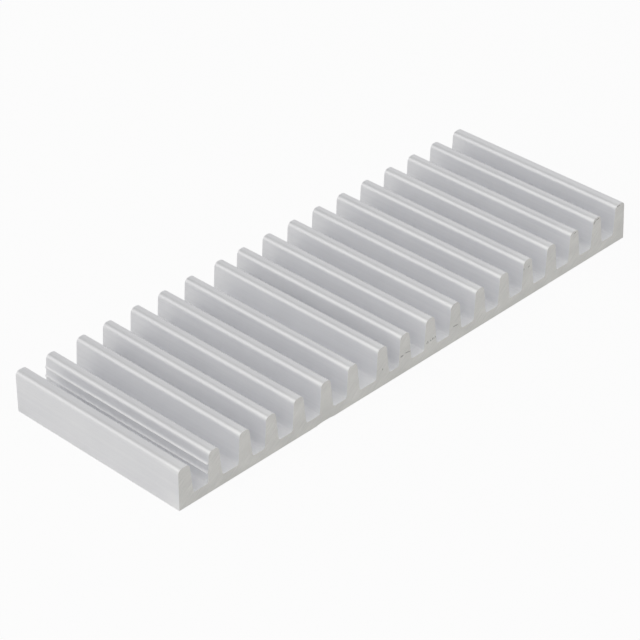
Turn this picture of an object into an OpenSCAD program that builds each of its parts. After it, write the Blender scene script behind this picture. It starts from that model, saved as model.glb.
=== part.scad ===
// Extruded heat sink: a flat base that carries a row of tapered fins with
// rounded tops. It is one piece of aluminium, drawn through a die and sawn
// to length, so one cross-section holds along its whole length.
//
// X runs across the fins, Y runs along them and Z points up. The origin is
// on the underside, in the middle of the base.

/* [Extrusion] */
// Length of the sawn piece, along the fins
sink_length = 50; // [20:1:150]
// Height from the underside to the tops of the fins
sink_height = 10; // [9:0.5:16]
// Thickness of the base, in the gaps between the fins
base_thickness = 2.5; // [1.5:0.1:3.5]

/* [Fins] */
// Number of fins
fin_count = 18; // [9:1:30]
// Distance from one fin to the next, centre to centre
fin_pitch = 8; // [7:0.25:12]
// Distance from an end fin's centre line to the side of the base
edge_margin = 2; // [1.8:0.1:4]
// Thickness of a fin at its top, before its shoulders are rounded
fin_top_thickness = 2.7; // [2.4:0.1:3.4]
// Slope of a fin's flanks, in degrees from upright
flank_slope = 5; // [1:0.5:6]
// Slope of the two outer sides, in degrees from upright
side_slope = 1.5; // [0:0.5:4]
// Radius of the two shoulders at the top of a fin
shoulder_radius = 1.2; // [0.4:0.05:1.25]
// Radius of the fillets at the foot of a fin
foot_radius = 0.55; // [0.2:0.05:0.9]

/* [Fins off their pitch] */
// How far the third fin stands to the right of its place
third_fin_shift = 0.5; // [-1:0.1:1]
// How far the eighth fin stands to the right of its place
eighth_fin_shift = 1.0; // [-1:0.1:1]

/* [Clip ribs] */
// Height of the upper rib's ledge above the underside
upper_rib_height = 7.1; // [6.5:0.1:7.5]
// Height of the lower rib's ledge above the underside
lower_rib_height = 5.0; // [4:0.1:5.5]
// How far a rib's ledge stands out from the flank
rib_depth = 0.4; // [0.2:0.05:0.6]
// Radius of the cove that runs from the flank out to a rib's ledge
rib_cove_radius = 0.9; // [0.6:0.05:1.2]

/* [Hidden] */

$fn = 64;
// How far an arc reaches past the two faces that it joins, so that it crosses them cleanly
// and no hair of metal is left where they meet
bite = 0.0005;

sink_width = (fin_count - 1) * fin_pitch + 2 * edge_margin;
// Places of the fins that differ from the rest, counted from the left, starting at 0
RIBBED_FIN = 1;
THIRD_FIN = 2;
EIGHTH_FIN = 7;
LAST_FIN = fin_count - 1;

function fin_shift(i) = i == THIRD_FIN ? third_fin_shift : i == EIGHTH_FIN ? eighth_fin_shift : 0;
function fin_x(i) = edge_margin - sink_width / 2 + i * fin_pitch + fin_shift(i);

// A flank is [how far from the fin's centre line it would meet the top, its slope].
inner_flank = [fin_top_thickness / 2, flank_slope];
outer_side = [edge_margin - sink_height * tan(side_slope), side_slope];

// How far from the fin's centre line a flank stands at height z
function reach(flank, z) = flank[0] + (sink_height - z) * tan(flank[1]);
// The unit vector that points straight out of a right-hand flank
function outwards(flank) = [cos(flank[1]), sin(flank[1])];

// Centre of the shoulder that rounds a flank into the flat of the top
function shoulder(flank) = [
    reach(flank, sink_height - shoulder_radius) - shoulder_radius / cos(flank[1]),
    sink_height - shoulder_radius
];
// Centre of the fillet between the inner flank and the floor of the gap
foot = [
    reach(inner_flank, base_thickness + foot_radius) + foot_radius / cos(inner_flank[1]),
    base_thickness + foot_radius
];

// Corners of the right half of a fin, from the foot of its flank to its top. Arcs take the
// place of the corner that lies on the fillet's centre.
inner_half = [
    [foot[0], 0],
    [foot[0], base_thickness],
    foot,
    foot - foot_radius * outwards(inner_flank),
    [inner_flank[0], sink_height]
];
outer_half = [[reach(outer_side, 0), 0], [outer_side[0], sink_height]];

// The square over a right-hand shoulder that is cut away outside the shoulder's arc
function shoulder_cut(flank) =
    let (centre = shoulder(flank), side = 2 * shoulder_radius * outwards(flank), up = [0, 2 * shoulder_radius])
    [centre, centre + side, centre + side + up, centre + up];

// Swaps left and right, and keeps the points in counter-clockwise order.
function mirrored(points) = [for (i = [len(points) - 1 : -1 : 0]) [-points[i][0], points[i][1]]];

// What is cut away to round a shoulder
module shoulder_waste(square_over, centre) {
    difference() {
        polygon(square_over);
        translate(centre) circle(shoulder_radius + bite);
    }
}

// One fin about its own centre line, down to the underside of the base
module fin(left_is_outer, right_is_outer) {
    left = left_is_outer ? outer_side : inner_flank;
    right = right_is_outer ? outer_side : inner_flank;
    difference() {
        polygon(concat(
            right_is_outer ? outer_half : inner_half,
            mirrored(left_is_outer ? outer_half : inner_half)
        ));
        shoulder_waste(shoulder_cut(right), shoulder(right));
        shoulder_waste(mirrored(shoulder_cut(left)), [-shoulder(left)[0], shoulder(left)[1]]);
        if (!right_is_outer) translate(foot) circle(foot_radius + bite);
        if (!left_is_outer) translate([-foot[0], foot[1]]) circle(foot_radius + bite);
    }
}

// A rib on a fin's left flank, with a level ledge below and a cove above
module rib(ledge) {
    out = [-outwards(inner_flank)[0], outwards(inner_flank)[1]];
    up = [out[1], -out[0]];
    edge = [-reach(inner_flank, ledge) - rib_depth, ledge];
    stand_off = rib_depth * cos(inner_flank[1]);
    rise = sqrt(stand_off * (2 * rib_cove_radius - stand_off));
    cove = edge + (rib_cove_radius - stand_off) * out + rise * up;
    cove_top = cove - rib_cove_radius * out;
    // The chord of the cove, drawn on into the fin to half as far again
    inner_end = cove_top + (cove_top - edge) / 2;
    difference() {
        polygon([edge, [inner_end[0], ledge], inner_end]);
        translate(cove) circle(rib_cove_radius + bite);
    }
}

// The base, from the first fin's centre line to the last one's
module base_section() {
    translate([edge_margin - sink_width / 2, 0])
        square([sink_width - 2 * edge_margin, base_thickness]);
}

module cross_section() {
    base_section();
    for (i = [0 : LAST_FIN])
        translate([fin_x(i), 0]) fin(i == 0, i == LAST_FIN);
    translate([fin_x(RIBBED_FIN), 0]) {
        rib(upper_rib_height);
        rib(lower_rib_height);
    }
}

module heat_sink() {
    color([0.78, 0.79, 0.80])
    rotate([90, 0, 0])
    linear_extrude(height = sink_length, center = true)
    cross_section();
}

heat_sink();
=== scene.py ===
"""Extruded aluminium heat sink: a sawn length of a finned profile, on a pale studio floor.

Every length is in metres unless its name or its unit says millimetres. X runs across the
fins, Y runs along them and Z points up from the underside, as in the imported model.
"""

from math import cos, pi, radians, sin, sqrt, tan

import bmesh
import bpy
from mathutils import Matrix, Vector


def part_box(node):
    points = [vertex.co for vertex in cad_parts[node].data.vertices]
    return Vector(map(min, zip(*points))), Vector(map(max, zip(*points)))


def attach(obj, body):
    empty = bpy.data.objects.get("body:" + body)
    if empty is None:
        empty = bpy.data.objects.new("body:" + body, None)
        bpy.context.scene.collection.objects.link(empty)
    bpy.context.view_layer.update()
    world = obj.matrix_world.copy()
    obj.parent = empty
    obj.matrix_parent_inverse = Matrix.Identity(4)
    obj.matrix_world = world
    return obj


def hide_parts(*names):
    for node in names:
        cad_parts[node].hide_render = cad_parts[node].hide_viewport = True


bl_info = {
    "name": "Extruded heat sink",
    "version": (1, 0, 0),
    "blender": (4, 5, 0),
    "location": "3D View > Sidebar > Heat sink",
    "description": "Builds a finned aluminium extrusion with sawn ends, and its studio",
    "category": "Object",
}

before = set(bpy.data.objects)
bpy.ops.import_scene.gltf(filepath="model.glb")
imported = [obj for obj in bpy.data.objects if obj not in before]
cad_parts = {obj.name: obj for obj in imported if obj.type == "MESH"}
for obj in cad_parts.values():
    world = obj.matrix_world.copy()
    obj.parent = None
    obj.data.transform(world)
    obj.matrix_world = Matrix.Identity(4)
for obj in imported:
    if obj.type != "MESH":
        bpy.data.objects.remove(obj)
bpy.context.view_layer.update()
BODY = "root"
NODE = "heat_sink"
LOW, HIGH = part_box(NODE)
MM = 0.001

# Fins that differ from the rest, counted from 0.
RIBBED_FIN = 1
THIRD_FIN = 2
EIGHTH_FIN = 7

# How finely the curves and the length are divided.
SHOULDER_SEGMENTS = 10
FOOT_SEGMENTS = 8
COVE_CUTS = 6
LENGTH_CUTS = 9

# Nicks on the near end: fin, counted from 1, place across it and height in mm, length and height
# of the nick in mm, and its turn from level in degrees.
NICKS = (
    (9, -0.98, 4.62, 1.00, 0.42, 6),
    (9, 0.85, 4.80, 1.90, 0.24, -10),
    (11, 0.10, 4.08, 1.80, 0.26, -6),
    (8, 0.05, 4.30, 0.50, 0.22, 40),
    (14, 0.30, 7.90, 0.70, 0.30, 20),
    (14, -1.35, 7.90, 0.25, 0.60, 0),
    (16, 0.10, 9.40, 1.00, 0.20, 10),
    (17, 0.20, 9.45, 1.30, 0.22, 6),
    (17, -0.88, 8.95, 0.30, 0.90, -32),
    (18, -0.40, 9.60, 1.20, 0.20, 0),
)

# The saw's chatter on one fin: place across it and height, width and height of each stroke in mm,
# all at one turn in degrees.
CHATTER_FIN = 10
CHATTER_TURN = 18
CHATTER = (
    (-1.10, 4.00, 0.22, 0.55),
    (-0.80, 4.18, 0.20, 0.80),
    (0.10, 4.16, 0.34, 0.45),
    (0.72, 4.30, 0.26, 0.75),
    (1.15, 4.28, 0.20, 0.50),
    (1.55, 4.42, 0.24, 0.62),
)

# The notch in the bottom edge: place across the sink, length, height and depth in mm.
NOTCH = (-28.5, 5.2, 0.55, 0.3)
MARK_DEPTH = 0.12

SKIN_METALLIC = 0.3
SAWN_METALLIC = 0.5
# The inside of the nicks, which carries painted shade: how metallic and how rough it is.
SHADED_NICK_METALLIC = 0.3
SHADED_NICK_ROUGHNESS = 0.6

# The floor's own shade, and how much of it is plain white to the camera and in reflections.
FLOOR_SHADE = 0.90
FLOOR_WHITE_SEEN = 0.92
FLOOR_WHITE_MIRRORED = 0.05

# Angles from the middle of the dim stretch at which it is full and at which it has faded out.
DIM_FULL = radians(14)
DIM_GONE = radians(38)

KEY_DISTANCE = 1.4
KEY_SIZE = (1.1, 1.4)
SIDE_AZIMUTH = radians(112)
SIDE_ELEVATION = radians(50)
SIDE_DISTANCE = 0.8
SIDE_SIZE = (0.6, 0.6)


# ---------------------------------------------------------------- settings


class ExtrusionSizes(bpy.types.PropertyGroup):
    """Sizes of the extrusion's cross-section and of its sawn ends."""

    fin_count: bpy.props.IntProperty(
        name="Fins", description="Number of fins", default=18, min=2
    )
    fin_pitch: bpy.props.FloatProperty(
        name="Fin pitch",
        description="Distance from one fin to the next, centre to centre",
        default=8 * MM, unit="LENGTH", precision=5,
    )
    edge_margin: bpy.props.FloatProperty(
        name="Edge margin",
        description="Distance from an end fin's centre line to the side of the base",
        default=2 * MM, unit="LENGTH", precision=5,
    )
    base_thickness: bpy.props.FloatProperty(
        name="Base thickness",
        description="Thickness of the base in the gaps between the fins",
        default=2.5 * MM, unit="LENGTH", precision=5,
    )
    fin_top_thickness: bpy.props.FloatProperty(
        name="Fin top",
        description="Thickness of a fin at its top, before its shoulders are rounded",
        default=2.7 * MM, unit="LENGTH", precision=5,
    )
    flank_slope: bpy.props.FloatProperty(
        name="Flank slope", description="Slope of a fin's flanks from upright",
        default=radians(5), subtype="ANGLE",
    )
    side_slope: bpy.props.FloatProperty(
        name="Side slope", description="Slope of the two outer sides from upright",
        default=radians(1.5), subtype="ANGLE",
    )
    shoulder_radius: bpy.props.FloatProperty(
        name="Shoulder radius", description="Radius of the shoulders at the top of a fin",
        default=1.2 * MM, unit="LENGTH", precision=5,
    )
    foot_radius: bpy.props.FloatProperty(
        name="Foot radius", description="Radius of the fillets at the foot of a fin",
        default=0.55 * MM, unit="LENGTH", precision=5,
    )
    third_fin_shift: bpy.props.FloatProperty(
        name="Third fin's shift", description="How far the third fin stands off its pitch",
        default=0.5 * MM, unit="LENGTH", precision=5,
    )
    eighth_fin_shift: bpy.props.FloatProperty(
        name="Eighth fin's shift", description="How far the eighth fin stands off its pitch",
        default=1.0 * MM, unit="LENGTH", precision=5,
    )
    upper_rib_height: bpy.props.FloatProperty(
        name="Upper rib", description="Height of the upper rib's ledge above the underside",
        default=7.1 * MM, unit="LENGTH", precision=5,
    )
    lower_rib_height: bpy.props.FloatProperty(
        name="Lower rib", description="Height of the lower rib's ledge above the underside",
        default=5.0 * MM, unit="LENGTH", precision=5,
    )
    rib_depth: bpy.props.FloatProperty(
        name="Rib depth", description="How far a rib's ledge stands out from the flank",
        default=0.4 * MM, unit="LENGTH", precision=5,
    )
    rib_cove_radius: bpy.props.FloatProperty(
        name="Rib cove", description="Radius of the cove from the flank out to a rib's ledge",
        default=0.9 * MM, unit="LENGTH", precision=5,
    )
    rim_chamfer: bpy.props.FloatProperty(
        name="Sawn rim", description="Width of the dulled rim round each sawn end",
        default=0.06 * MM, unit="LENGTH", precision=6,
    )


class FinishColours(bpy.types.PropertyGroup):
    """Colours and roughness of the metal."""

    extruded: bpy.props.FloatVectorProperty(
        name="Extruded skin", description="Colour of the skin that the die leaves",
        default=(0.898, 0.903, 0.928), subtype="COLOR", size=3, min=0, max=1,
    )
    sawn: bpy.props.FloatVectorProperty(
        name="Sawn end", description="Colour of the sawn ends",
        default=(0.78, 0.776, 0.752), subtype="COLOR", size=3, min=0, max=1,
    )
    # Painted shade: the inside of each nick is coloured darker than the sawn end.
    shaded_nick: bpy.props.FloatVectorProperty(
        name="Shaded nick", description="Colour inside the nicks",
        default=(0.47, 0.465, 0.455), subtype="COLOR", size=3, min=0, max=1,
    )
    extruded_roughness: bpy.props.FloatProperty(
        name="Skin roughness", description="Roughness of the extruded skin",
        default=0.30, min=0, max=1,
    )
    sawn_roughness: bpy.props.FloatProperty(
        name="Sawn roughness", description="Roughness of the sawn ends",
        default=0.52, min=0, max=1,
    )


class StudioSettings(bpy.types.PropertyGroup):
    """The camera, the lamps and the floor."""

    aim: bpy.props.FloatVectorProperty(
        name="Aim", description="Point that the camera looks at",
        default=(-7.387 * MM, -2.863 * MM, 5 * MM), subtype="XYZ", unit="LENGTH", size=3,
    )
    azimuth: bpy.props.FloatProperty(
        name="Azimuth", description="Turn of the camera from straight in front, to the left",
        default=radians(44.735), subtype="ANGLE",
    )
    elevation: bpy.props.FloatProperty(
        name="Elevation", description="Height of the camera above the floor, as an angle",
        default=radians(33.899), subtype="ANGLE",
    )
    roll: bpy.props.FloatProperty(
        name="Roll", description="Turn of the camera about its line of sight",
        default=radians(-1.332), subtype="ANGLE",
    )
    distance: bpy.props.FloatProperty(
        name="Distance", description="Distance from the camera to its aim",
        default=560.9 * MM, unit="LENGTH",
    )
    lens: bpy.props.FloatProperty(
        name="Lens", description="Focal length on a 36 mm sensor, in millimetres",
        default=144.90, min=1,
    )
    sky: bpy.props.FloatProperty(
        name="Overhead light", description="Strength of the room's light from straight above",
        default=0.88, min=0,
    )
    horizon: bpy.props.FloatProperty(
        name="Low light", description="Strength of the room's light from near the floor",
        default=0.38, min=0,
    )
    dimness: bpy.props.FloatProperty(
        name="Dimness behind", description="Share of the light that is lost in the dim stretch",
        default=0.75, min=0, max=1,
    )
    dim_azimuth: bpy.props.FloatProperty(
        name="Dim azimuth", description="Place of the dim stretch, from behind to the left",
        default=radians(-3), subtype="ANGLE",
    )
    dim_elevation: bpy.props.FloatProperty(
        name="Dim elevation", description="Height of the dim stretch above the floor",
        default=radians(48), subtype="ANGLE",
    )
    key: bpy.props.FloatProperty(
        name="Key light", description="Brightness of the soft lamp on the left",
        default=0.52, min=0,
    )
    key_colour: bpy.props.FloatVectorProperty(
        name="Key colour", description="Colour of the soft lamp",
        default=(1.0, 0.975, 0.93), subtype="COLOR", size=3, min=0, max=1,
    )
    key_azimuth: bpy.props.FloatProperty(
        name="Key azimuth", description="Place of the lamp, from behind to the left",
        default=radians(54), subtype="ANGLE",
    )
    key_elevation: bpy.props.FloatProperty(
        name="Key elevation", description="Height of the lamp above the floor, as an angle",
        default=radians(34), subtype="ANGLE",
    )
    side: bpy.props.FloatProperty(
        name="Side light", description="Brightness of the soft lamp at the left, in front",
        default=0.40, min=0,
    )


# ---------------------------------------------------------------- the profile


def fin_centre(sizes, i):
    """Place of a fin's centre line across the profile."""
    shift = {THIRD_FIN: sizes.third_fin_shift, EIGHTH_FIN: sizes.eighth_fin_shift}.get(i, 0.0)
    return LOW.x + sizes.edge_margin + i * sizes.fin_pitch + shift


def flank_reach(sizes, height, outer=False):
    """How far from the fin's centre line a flank stands at a height above the underside."""
    top = HIGH.z - LOW.z
    if outer:
        return sizes.edge_margin - height * tan(sizes.side_slope)
    return sizes.fin_top_thickness / 2 + (top - height) * tan(sizes.flank_slope)


def profile_corners(sizes):
    """The corners of the cross-section, clockwise from the lower left, each with its kind: a
    shoulder, an outer shoulder, a foot or plain."""
    top = HIGH.z - LOW.z
    last = sizes.fin_count - 1
    corners = [(LOW.x, 0.0, "plain")]
    for i in range(sizes.fin_count):
        centre = fin_centre(sizes, i)
        if i > 0:
            foot = flank_reach(sizes, sizes.base_thickness)
            corners.append((centre - foot, sizes.base_thickness, "foot"))
        if i == RIBBED_FIN:
            for ledge in (sizes.lower_rib_height, sizes.upper_rib_height):
                root = flank_reach(sizes, ledge)
                corners.append((centre - root, ledge, "plain"))
                corners.append((centre - root - sizes.rib_depth, ledge, "plain"))
                rise = cove_rise(sizes)
                root = flank_reach(sizes, ledge + rise)
                corners.append((centre - root, ledge + rise, "plain"))
        for side, outer in ((-1, i == 0), (1, i == last)):
            kind = "outer_shoulder" if outer else "shoulder"
            corners.append((centre + side * flank_reach(sizes, top, outer), top, kind))
        if i < last:
            foot = flank_reach(sizes, sizes.base_thickness)
            corners.append((centre + foot, sizes.base_thickness, "foot"))
    corners.append((HIGH.x, 0.0, "plain"))
    return corners


def cove_reach(sizes):
    """How far a rib's cove stands out from the flank, and how far it runs up along it."""
    off = sizes.rib_depth * cos(sizes.flank_slope)
    return off, sqrt(off * (2 * sizes.rib_cove_radius - off))


def cove_rise(sizes):
    """Height of a rib's cove, from the ledge to where it runs out into the flank."""
    off, along = cove_reach(sizes)
    return along * cos(sizes.flank_slope) + off * sin(sizes.flank_slope)


def round_corner(bm, corner, slope, radius, segments):
    """Rounds a corner of the flat profile, where a flat and a flank of this slope meet."""
    interior = pi / 2 + slope
    bmesh.ops.bevel(
        bm, geom=[corner], offset=radius / tan(interior / 2), offset_type="OFFSET",
        segments=segments, profile=0.5, affect="VERTICES", material=-1,
    )


def make_profile(bm, sizes):
    """Draws the cross-section as one flat face at the near end."""
    corners = [(bm.verts.new((x, LOW.y, LOW.z + z)), kind) for x, z, kind in profile_corners(sizes)]
    bm.faces.new([vert for vert, kind in corners])
    slopes = {"shoulder": sizes.flank_slope, "outer_shoulder": sizes.side_slope}
    for vert, kind in corners:
        if kind in slopes:
            round_corner(bm, vert, slopes[kind], sizes.shoulder_radius, SHOULDER_SEGMENTS)
    for vert, kind in corners:
        if kind == "foot":
            round_corner(bm, vert, sizes.flank_slope, sizes.foot_radius, FOOT_SEGMENTS)
    hollow_ribs(bm, sizes)


def hollow_ribs(bm, sizes):
    """Hollows the slope above each rib's ledge into a cove."""
    centre = fin_centre(sizes, RIBBED_FIN)
    lean = sizes.flank_slope
    out = Vector((-cos(lean), 0, sin(lean)))
    up = Vector((sin(lean), 0, cos(lean)))
    off, along = cove_reach(sizes)
    for ledge in (sizes.lower_rib_height, sizes.upper_rib_height):
        edge_at = Vector((centre - flank_reach(sizes, ledge) - sizes.rib_depth, LOW.y, LOW.z + ledge))
        middle = edge_at + (sizes.rib_cove_radius - off) * out + along * up
        top_at = middle - sizes.rib_cove_radius * out
        slope = [
            e for e in bm.edges
            if min((v.co - edge_at).length for v in e.verts) < 1e-6
            and max(v.co.z for v in e.verts) > edge_at.z + 1e-5
        ]
        new = bmesh.ops.subdivide_edges(bm, edges=slope, cuts=COVE_CUTS)
        for vert in (g for g in new["geom_inner"] if isinstance(g, bmesh.types.BMVert)):
            spoke = vert.co - middle
            spoke.y = 0
            vert.co = middle + spoke.normalized() * sizes.rib_cove_radius
        for vert in bm.verts:
            if (vert.co - top_at).length < 0.02 * MM:
                vert.co = top_at


def build_body(sizes):
    """Draws the profile through its length, and dulls the rims of the two sawn ends."""
    bm = bmesh.new()
    make_profile(bm, sizes)
    near = bm.faces[:]
    drawn = bmesh.ops.extrude_face_region(bm, geom=near, use_keep_orig=True)
    far = [g for g in drawn["geom"] if isinstance(g, bmesh.types.BMVert)]
    bmesh.ops.translate(bm, verts=far, vec=(0, HIGH.y - LOW.y, 0))
    bmesh.ops.remove_doubles(bm, verts=bm.verts[:], dist=1e-8)
    bmesh.ops.recalc_face_normals(bm, faces=bm.faces[:])
    along = [e for e in bm.edges if abs(e.verts[0].co.y - e.verts[1].co.y) > 1 * MM]
    bmesh.ops.subdivide_edges(bm, edges=along, cuts=LENGTH_CUTS, use_grid_fill=True)
    rims = [e for e in bm.edges if abs(e.verts[0].co.y - e.verts[1].co.y) < 1e-7]
    rims = [e for e in rims if abs(abs(e.verts[0].co.y) - HIGH.y) < 1e-7]
    bmesh.ops.bevel(
        bm, geom=rims, offset=sizes.rim_chamfer, offset_type="OFFSET", segments=2,
        profile=0.5, affect="EDGES", material=-1,
    )
    for face in bm.faces:
        face.material_index = 1 if abs(face.normal.y) > 0.9 else 0
    return as_object(bm, "extrusion")


def as_object(bm, name):
    """Makes an object of a bmesh and frees the bmesh."""
    mesh = bpy.data.meshes.new(name)
    bm.to_mesh(mesh)
    bm.free()
    thing = bpy.data.objects.new(name, mesh)
    bpy.context.scene.collection.objects.link(thing)
    return thing


def fin_point(sizes, fin, across, height):
    """A place on the near end: a fin's number from 1, and millimetres from its centre line and
    above the underside."""
    return Vector((fin_centre(sizes, fin - 1) + across * MM, LOW.y, LOW.z + height * MM))


def press_mark(bm, at, length, height, turn=0.0, depth=MARK_DEPTH):
    """Adds the tool of one mark, a flattened ball that reaches into the near end. The length,
    height and depth are in millimetres, and the turn in degrees from level."""
    size = Matrix.Diagonal((length / 2 * MM, depth * MM, height / 2 * MM, 1))
    place = Matrix.Translation(at) @ Matrix.Rotation(radians(-turn), 4, "Y") @ size
    bmesh.ops.create_icosphere(bm, subdivisions=2, radius=1.0, matrix=place)


def press_marks(sizes):
    """The tool that presses the saw's nicks and the knocks of handling into the near end."""
    bm = bmesh.new()
    for fin, across, height, length, tall, turn in NICKS:
        press_mark(bm, fin_point(sizes, fin, across, height), length, tall, turn)
    for across, height, wide, tall in CHATTER:
        press_mark(bm, fin_point(sizes, CHATTER_FIN, across, height), wide, tall, CHATTER_TURN)
    across, length, height, depth = NOTCH
    press_mark(bm, Vector((across * MM, LOW.y, LOW.z)), length, height, depth=depth)
    return as_object(bm, "marks")


def cut(body, tool):
    """Cuts a tool out of the body for good. The cut faces keep the tool's material."""
    hollow = body.modifiers.new("marks", "BOOLEAN")
    hollow.operation = "DIFFERENCE"
    hollow.solver = "EXACT"
    hollow.use_self = True
    hollow.material_mode = "TRANSFER"
    hollow.object = tool
    mesh = bpy.data.meshes.new_from_object(
        body.evaluated_get(bpy.context.evaluated_depsgraph_get())
    )
    body.modifiers.remove(hollow)
    blank = body.data
    body.data = mesh
    bpy.data.meshes.remove(blank)
    mesh.name = "extrusion"
    bpy.data.objects.remove(tool)


# ---------------------------------------------------------------- shader helpers


class Wire:
    """A number in a shader. Arithmetic on it adds the Math nodes that work it out."""

    def __init__(self, finish, socket):
        self.finish = finish
        self.socket = socket

    def math(self, operation, first, second):
        return self.finish.node("ShaderNodeMath", {"operation": operation}, {0: first, 1: second})

    def __add__(self, other):
        return self.math("ADD", self, other)

    __radd__ = __add__

    def __mul__(self, other):
        return self.math("MULTIPLY", self, other)

    __rmul__ = __mul__

    def __sub__(self, other):
        return self.math("SUBTRACT", self, other)

    def __rsub__(self, other):
        return self.math("SUBTRACT", other, self)


class Finish:
    """A material, or the room's own light, that is being put together."""

    def __init__(self, block, output="ShaderNodeOutputMaterial"):
        block.use_nodes = True
        self.block = block
        self.tree = block.node_tree
        self.tree.nodes.clear()
        self.output = self.tree.nodes.new(output)

    def node(self, kind, settings=None, sockets=None, out=0):
        """Adds a node with its settings and the values or links of its sockets."""
        node = self.tree.nodes.new(kind)
        for key, value in (settings or {}).items():
            if key == "stops":
                ramp = node.color_ramp
                while len(ramp.elements) < len(value):
                    ramp.elements.new(1.0)
                for element, (place, shade) in zip(ramp.elements, value):
                    element.position = place
                    element.color = (shade, shade, shade, 1)
            else:
                setattr(node, key, value)
        for key, value in (sockets or {}).items():
            if isinstance(value, Wire):
                self.tree.links.new(value.socket, node.inputs[key])
            else:
                node.inputs[key].default_value = value
        return Wire(self, node.outputs[out])

    def place(self, scale):
        """Object coordinates in millimetres, stretched by scale."""
        at = self.node("ShaderNodeTexCoord", out="Object")
        size = tuple(s / MM for s in scale)
        return self.node("ShaderNodeMapping", {}, {"Vector": at, "Scale": size})

    def noise(self, scale, detail):
        """Noise from 0 to 1 with a mean of a half."""
        return self.node(
            "ShaderNodeTexNoise", {},
            {"Vector": self.place(scale), "Scale": 1.0, "Detail": detail, "Roughness": 0.5},
        )

    def ramp(self, value, stops):
        return self.node("ShaderNodeValToRGB", {"stops": stops}, {"Fac": value})

    def tint(self, amount, first, second):
        """Mixes two colours by an amount."""
        return self.node(
            "ShaderNodeMix", {"data_type": "RGBA"},
            {0: amount, 6: (*first, 1), 7: (*second, 1)}, out=2,
        )

    def near_end_highlight_mask(self, length):
        """Rises from 0 to 1 over the last millimetres before the near end; it places the painted
        highlight there.
        """
        y = self.node("ShaderNodeSeparateXYZ", {}, {"Vector": self.place((1, 1, 1))}, out="Y")
        return self.ramp((LOW.y / MM + length - y) * (1 / length), [(0.0, 0.0), (1.0, 1.0)])

    def tops_and_floors_highlight_mask(self):
        """Is 1 on the tops of the fins and in the bottoms of the gaps, and 0 between; it places the
        painted highlight there.
        """
        z = self.node("ShaderNodeSeparateXYZ", {}, {"Vector": self.place((1, 1, 0.1))}, out="Z")
        return self.ramp(z, [(0.28, 1.0), (0.36, 0.0), (0.84, 0.0), (0.92, 1.0)])

    def bump(self, height, distance):
        return self.node(
            "ShaderNodeBump", {},
            {"Height": height, "Distance": distance, "Strength": 1.0}, out="Normal",
        )

    def show(self, shader):
        """Makes a shader the surface of the material."""
        self.tree.links.new(shader.socket, self.output.inputs["Surface"])
        return self.block

    def metal(self, colour, roughness, normal, metallic):
        shader = self.node(
            "ShaderNodeBsdfPrincipled", {},
            {"Base Color": colour, "Metallic": metallic, "Roughness": roughness, "Normal": normal},
            out="BSDF",
        )
        return self.show(shader)


def shade(colour, factor):
    """A colour made darker or lighter by a factor."""
    return tuple(min(1.0, c * factor) for c in colour)


def extruded_skin(colours):
    """The skin that the die leaves: faint lines along the fins, and a faint cloudiness. A painted
    highlight lightens the fin tops and gap floors over the last 6 mm before the near end.
    """
    skin = Finish(bpy.data.materials.new("aluminium_as_extruded"))
    fine = skin.noise((3.2, 0.010, 3.2), 1.0)
    broad = skin.noise((1.1, 0.015, 1.1), 1.0)
    cloud = skin.noise((0.16, 0.10, 0.16), 3.0)
    grain = skin.noise((3.0, 2.2, 3.0), 1.0)
    value = 0.25 * fine + 0.30 * broad + 0.30 * cloud + 0.15 * grain
    # Painted highlight: the skin is made lighter on the fin tops and gap floors over the last 6 mm
    # before the near end.
    value = value + 0.30 * skin.near_end_highlight_mask(6.0) * skin.tops_and_floors_highlight_mask()
    colour = skin.tint(
        skin.ramp(value, [(0.35, 0.0), (0.95, 1.0)]),
        shade(colours.extruded, 0.96), shade(colours.extruded, 1.10),
    )
    rough = colours.extruded_roughness + 0.04 * (cloud - 0.5)
    height = 0.4 * fine + 0.6 * broad
    return skin.metal(colour, rough, skin.bump(height, 0.004 * MM), SKIN_METALLIC)


def sawn_end(colours):
    """A sawn end: close straight scratches on a slant, warmer and duller than the skin."""
    end = Finish(bpy.data.materials.new("aluminium_sawn"))
    at = end.node("ShaderNodeTexCoord", out="Object")
    turned = end.node(
        "ShaderNodeMapping", {},
        {"Vector": at, "Rotation": (0, radians(38), 0), "Scale": (1 / MM,) * 3},
    )
    stretched = end.node("ShaderNodeMapping", {}, {"Vector": turned, "Scale": (0.25, 1.0, 5.0)})
    lines = end.node("ShaderNodeTexNoise", {}, {"Vector": stretched, "Scale": 1.0, "Detail": 3.0})
    cloud = end.noise((0.12, 0.12, 0.22), 3.0)
    grain = end.noise((4.0, 4.0, 4.0), 2.0)
    value = 0.45 * lines + 0.35 * cloud + 0.20 * grain
    colour = end.tint(
        end.ramp(value, [(0.32, 0.0), (0.68, 1.0)]),
        shade(colours.sawn, 0.87), shade(colours.sawn, 1.12),
    )
    rough = colours.sawn_roughness + 0.04 * (cloud - 0.5)
    normal = end.bump(0.7 * lines + 0.3 * grain, 0.012 * MM)
    return end.metal(colour, rough, normal, SAWN_METALLIC)


def shaded_nick_metal(colours):
    """Inside a nick: rougher than the sawn end round it, and darker, as painted shade in the hollow.
    """
    shaded_nick = Finish(bpy.data.materials.new("aluminium_shaded_nick"))
    grain = shaded_nick.noise((6.0, 6.0, 6.0), 2.0)
    # Painted shade: the nick's colour is darker than the sawn end round it.
    colour = shaded_nick.tint(
        shaded_nick.ramp(grain, [(0.35, 0.0), (0.65, 1.0)]),
        shade(colours.shaded_nick, 0.85), shade(colours.shaded_nick, 1.15),
    )
    return shaded_nick.metal(colour, SHADED_NICK_ROUGHNESS, shaded_nick.bump(grain, 0.02 * MM), SHADED_NICK_METALLIC)


# ---------------------------------------------------------------- operators


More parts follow.
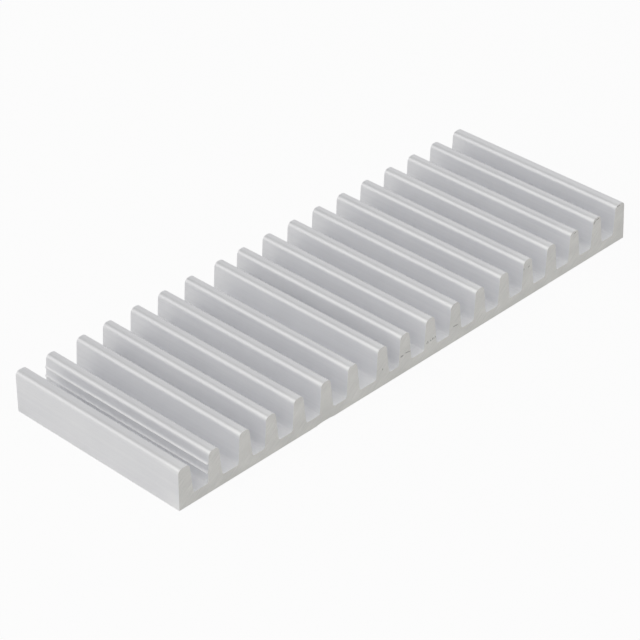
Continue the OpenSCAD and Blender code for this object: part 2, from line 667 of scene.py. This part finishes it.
class HEATSINK_OT_extrusion(bpy.types.Operator):
    """Builds the finned extrusion with its sawn ends"""

    bl_idname = "heatsink.extrusion"
    bl_label = "Extrusion"

    def execute(self, context):
        sizes = context.scene.heatsink_sizes
        colours = context.scene.heatsink_colours
        width = (sizes.fin_count - 1) * sizes.fin_pitch + 2 * sizes.edge_margin
        if abs(width - (HIGH.x - LOW.x)) > 0.1 * MM:
            raise RuntimeError("the fins' pitch and number don't make up the frame's width")
        body = build_body(sizes)
        body.data.materials.append(extruded_skin(colours))
        body.data.materials.append(sawn_end(colours))
        marks = press_marks(sizes)
        marks.data.materials.append(shaded_nick_metal(colours))
        cut(body, marks)
        body.data.polygons.foreach_set("use_smooth", [True] * len(body.data.polygons))
        body.data.set_sharp_from_angle(angle=radians(40))
        weigh = body.modifiers.new("even normals", "WEIGHTED_NORMAL")
        weigh.keep_sharp = True
        weigh.weight = 100
        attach(body, BODY)
        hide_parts(NODE)
        return {"FINISHED"}


class HEATSINK_OT_studio(bpy.types.Operator):
    """Sets up the floor, the lamps and the camera"""

    bl_idname = "heatsink.studio"
    bl_label = "Studio"

    def execute(self, context):
        studio = context.scene.heatsink_studio
        make_floor()
        make_light(context.scene, studio)
        make_camera(context.scene, studio)
        context.scene.view_settings.view_transform = "Standard"
        return {"FINISHED"}


def make_floor():
    """A broad pale floor that shows white and keeps the soft shadow."""
    bm = bmesh.new()
    bmesh.ops.create_grid(
        bm, x_segments=1, y_segments=1, size=3.0, matrix=Matrix.Translation((0, 0, LOW.z))
    )
    floor = as_object(bm, "floor")
    pale = Finish(bpy.data.materials.new("pale_floor"))
    cover = pale.node(
        "ShaderNodeBsdfDiffuse", {}, {"Color": (FLOOR_SHADE,) * 3 + (1,)}, out="BSDF"
    )
    glow = pale.node(
        "ShaderNodeEmission", {}, {"Color": (1, 1, 1, 1), "Strength": 1.0}, out="Emission"
    )
    path = "ShaderNodeLightPath"
    seen = (
        FLOOR_WHITE_SEEN * pale.node(path, out="Is Camera Ray")
        + FLOOR_WHITE_MIRRORED * pale.node(path, out="Is Glossy Ray")
        + FLOOR_WHITE_SEEN * pale.node(path, out="Is Transmission Ray")
    )
    both = pale.node("ShaderNodeMixShader", {}, {0: seen, 1: cover, 2: glow}, out="Shader")
    floor.data.materials.append(pale.show(both))


def make_light(scene, studio):
    """A pale room with a dimmer stretch of wall behind, and two soft lamps on the left."""
    room = Finish(bpy.data.worlds.new("pale_room"), "ShaderNodeOutputWorld")
    way = room.node("ShaderNodeTexCoord", out="Generated")
    height = room.node("ShaderNodeSeparateXYZ", {}, {"Vector": way}, out="Z")
    nearness = room.node(
        "ShaderNodeVectorMath", {"operation": "DOT_PRODUCT"},
        {0: way, 1: direction(studio.dim_azimuth, studio.dim_elevation)}, out="Value",
    )
    dim = room.ramp(nearness, [(cos(DIM_GONE), 0.0), (cos(DIM_FULL), 1.0)])
    rise = room.ramp(height, [(0.0, 0.0), (1.0, 1.0)])
    level = (studio.horizon + (studio.sky - studio.horizon) * rise) * (1 - studio.dimness * dim)
    light = room.node("ShaderNodeBackground", {}, {"Color": level, "Strength": 1.0})
    white = room.node("ShaderNodeBackground", {}, {"Color": (1, 1, 1, 1), "Strength": 1.0})
    seen = room.node("ShaderNodeLightPath", out="Is Camera Ray")
    room.show(room.node("ShaderNodeMixShader", {}, {0: seen, 1: light, 2: white}))
    scene.world = room.block
    towards = direction(studio.key_azimuth, studio.key_elevation)
    add_lamp(scene, "soft_key", towards, KEY_DISTANCE, KEY_SIZE, studio.key, studio.key_colour)
    towards = direction(SIDE_AZIMUTH, SIDE_ELEVATION)
    add_lamp(
        scene, "soft_side", towards, SIDE_DISTANCE, SIDE_SIZE, studio.side, studio.key_colour
    )


def direction(azimuth, elevation):
    """A unit vector: the azimuth runs from straight behind the sink round to the left."""
    return Vector((
        -sin(azimuth) * cos(elevation), cos(azimuth) * cos(elevation), sin(elevation)
    ))


def add_lamp(scene, name, towards, distance, size, brightness, colour):
    """A soft rectangular lamp that looks at the origin, as bright as brightness times white."""
    lamp = bpy.data.lights.new(name, "AREA")
    lamp.shape = "RECTANGLE"
    lamp.size, lamp.size_y = size
    lamp.energy = brightness * pi * lamp.size * lamp.size_y
    lamp.color = colour
    towards = towards.normalized()
    holder = bpy.data.objects.new(name, lamp)
    turn = towards.to_track_quat("Z", "Y").to_matrix().to_4x4()
    holder.matrix_world = Matrix.Translation(towards * distance) @ turn
    scene.collection.objects.link(holder)


def make_camera(scene, studio):
    """The camera, in front on the left and above."""
    lens = bpy.data.cameras.new("camera")
    lens.sensor_width = 36
    lens.lens = studio.lens
    lens.clip_start = 0.01
    camera = bpy.data.objects.new("camera", lens)
    back = Vector((
        -sin(studio.azimuth) * cos(studio.elevation),
        -cos(studio.azimuth) * cos(studio.elevation),
        sin(studio.elevation),
    ))
    turn = back.to_track_quat("Z", "Y").to_matrix().to_4x4()
    place = Matrix.Translation(Vector(studio.aim) + back * studio.distance)
    camera.matrix_world = place @ turn @ Matrix.Rotation(studio.roll, 4, "Z")
    scene.collection.objects.link(camera)
    scene.camera = camera


class HEATSINK_PT_panel(bpy.types.Panel):
    """Lists the parts of the heat sink in the sidebar"""

    bl_idname = "HEATSINK_PT_panel"
    bl_label = "Heat sink"
    bl_space_type = "VIEW_3D"
    bl_region_type = "UI"
    bl_category = "Heat sink"

    def draw(self, context):
        layout = self.layout
        for operator in OPERATORS:
            layout.operator(operator.bl_idname)
        for group in (
            context.scene.heatsink_sizes,
            context.scene.heatsink_colours,
            context.scene.heatsink_studio,
        ):
            box = layout.box()
            for name in group.__annotations__:
                box.prop(group, name)


SETTINGS = (ExtrusionSizes, FinishColours, StudioSettings)
OPERATORS = (HEATSINK_OT_extrusion, HEATSINK_OT_studio)


def register():
    for item in SETTINGS + OPERATORS + (HEATSINK_PT_panel,):
        bpy.utils.register_class(item)
    scene = bpy.types.Scene
    scene.heatsink_sizes = bpy.props.PointerProperty(type=ExtrusionSizes)
    scene.heatsink_colours = bpy.props.PointerProperty(type=FinishColours)
    scene.heatsink_studio = bpy.props.PointerProperty(type=StudioSettings)


def unregister():
    del bpy.types.Scene.heatsink_sizes
    del bpy.types.Scene.heatsink_colours
    del bpy.types.Scene.heatsink_studio
    for item in reversed(SETTINGS + OPERATORS + (HEATSINK_PT_panel,)):
        bpy.utils.unregister_class(item)


def main():
    register()
    bpy.ops.heatsink.extrusion()
    bpy.ops.heatsink.studio()


if __name__ == "__main__":
    main()
